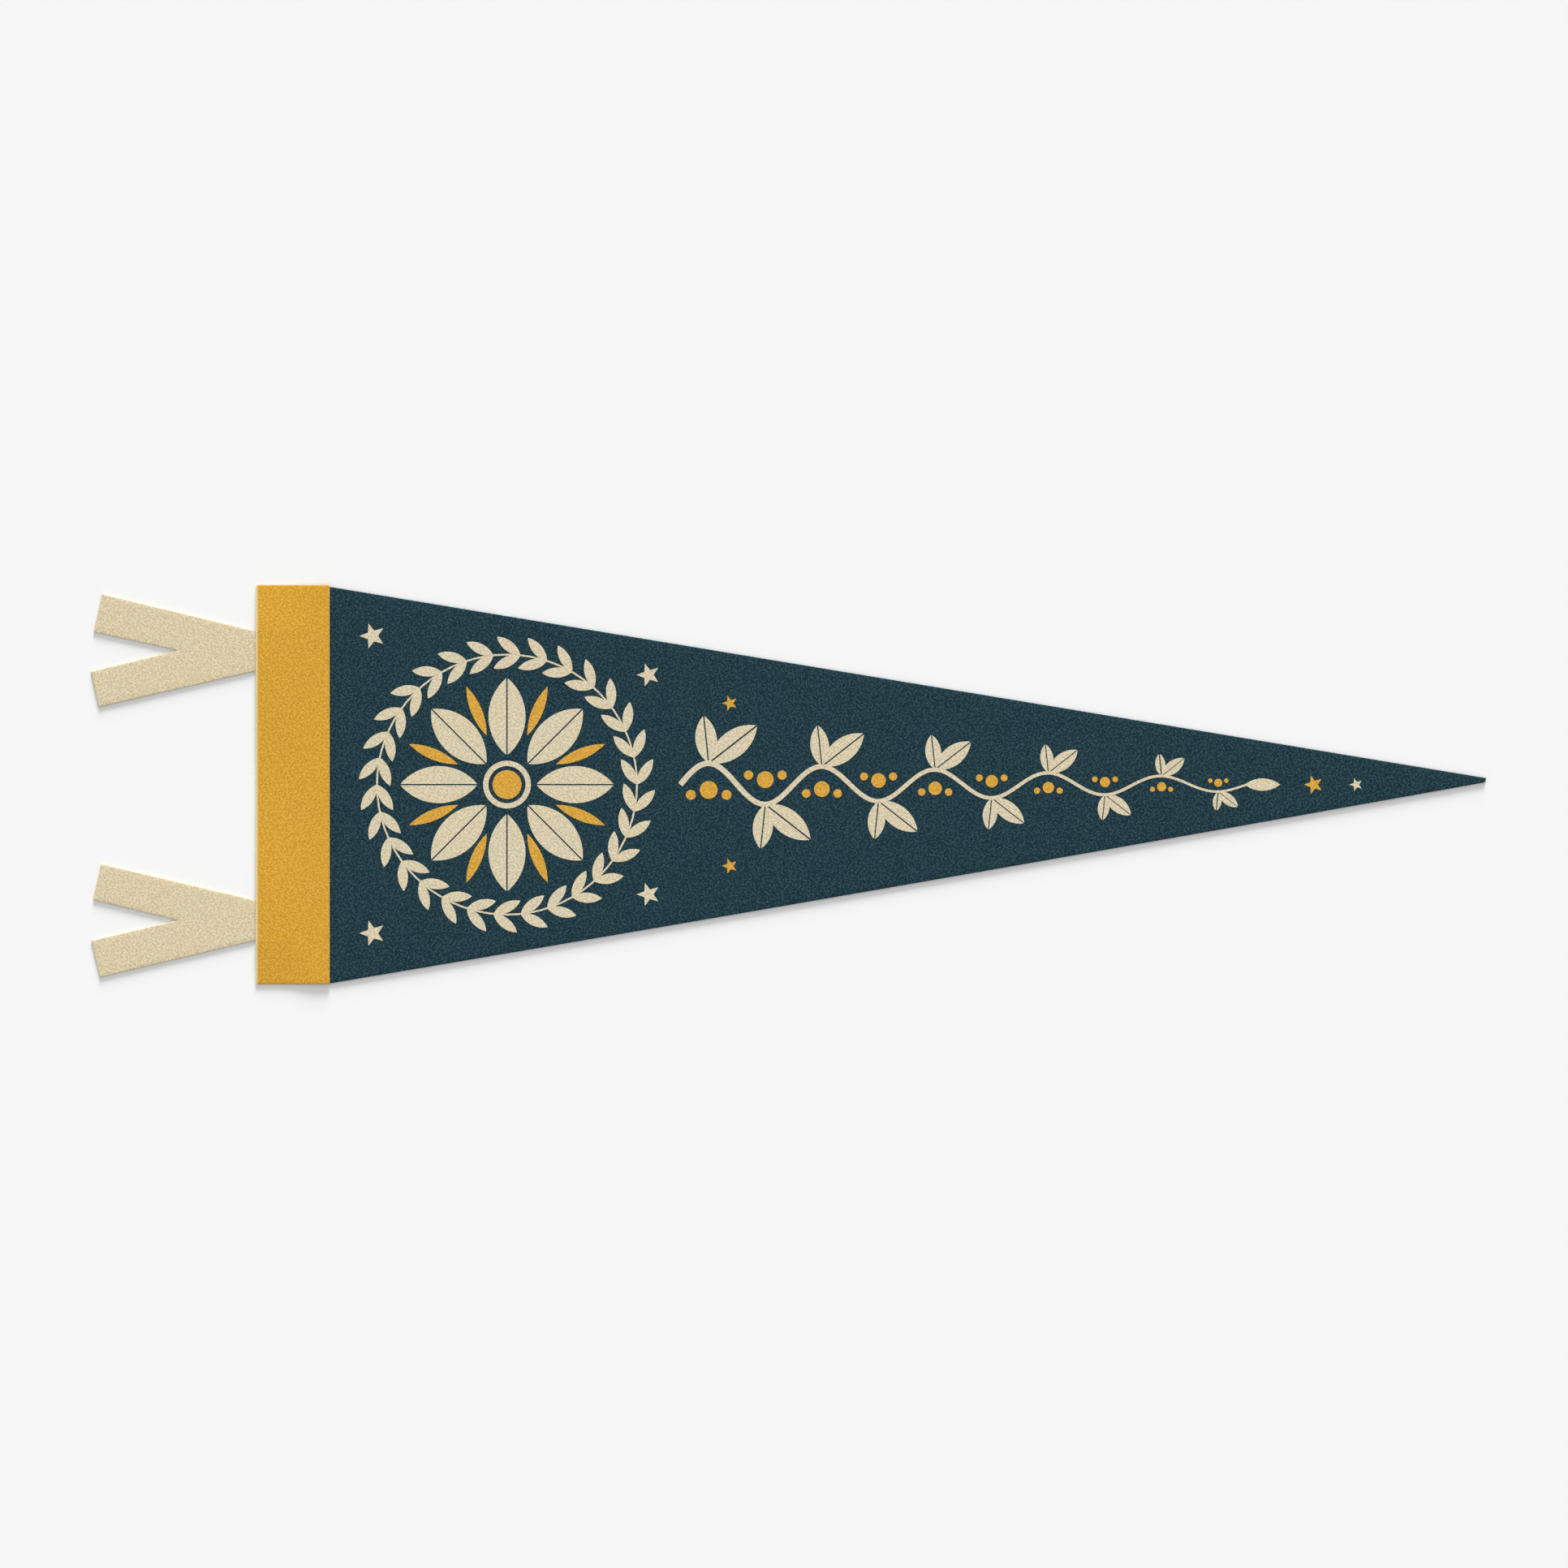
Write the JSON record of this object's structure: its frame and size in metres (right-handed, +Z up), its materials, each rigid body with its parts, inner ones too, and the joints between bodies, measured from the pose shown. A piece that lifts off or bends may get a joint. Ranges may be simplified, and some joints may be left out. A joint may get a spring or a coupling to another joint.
{
  "type": "pennant flag",
  "caption": "Long felt pennant lying flat: tapering body with a blunt tip, header strip across the wide end and forked tie tails.",
  "frame": {"origin": "middle of the whole outline, on the surface the pennant lies on", "axes": "+X along the pennant from the tie tails to the tip, +Y towards the pennant's upper edge, +Z up from the surface"},
  "size_m": [0.7888, 0.2258, 0.0029],
  "materials": {
    "body_felt": "matte felt, dark teal",
    "header_felt": "matte felt, mustard",
    "tail_felt": "matte felt, cream"
  },
  "bodies": {
    "root": {"body": "body_felt", "header": "header_felt", "tails_upper": "tail_felt", "tails_lower": "tail_felt"}
  },
  "joints": []
}
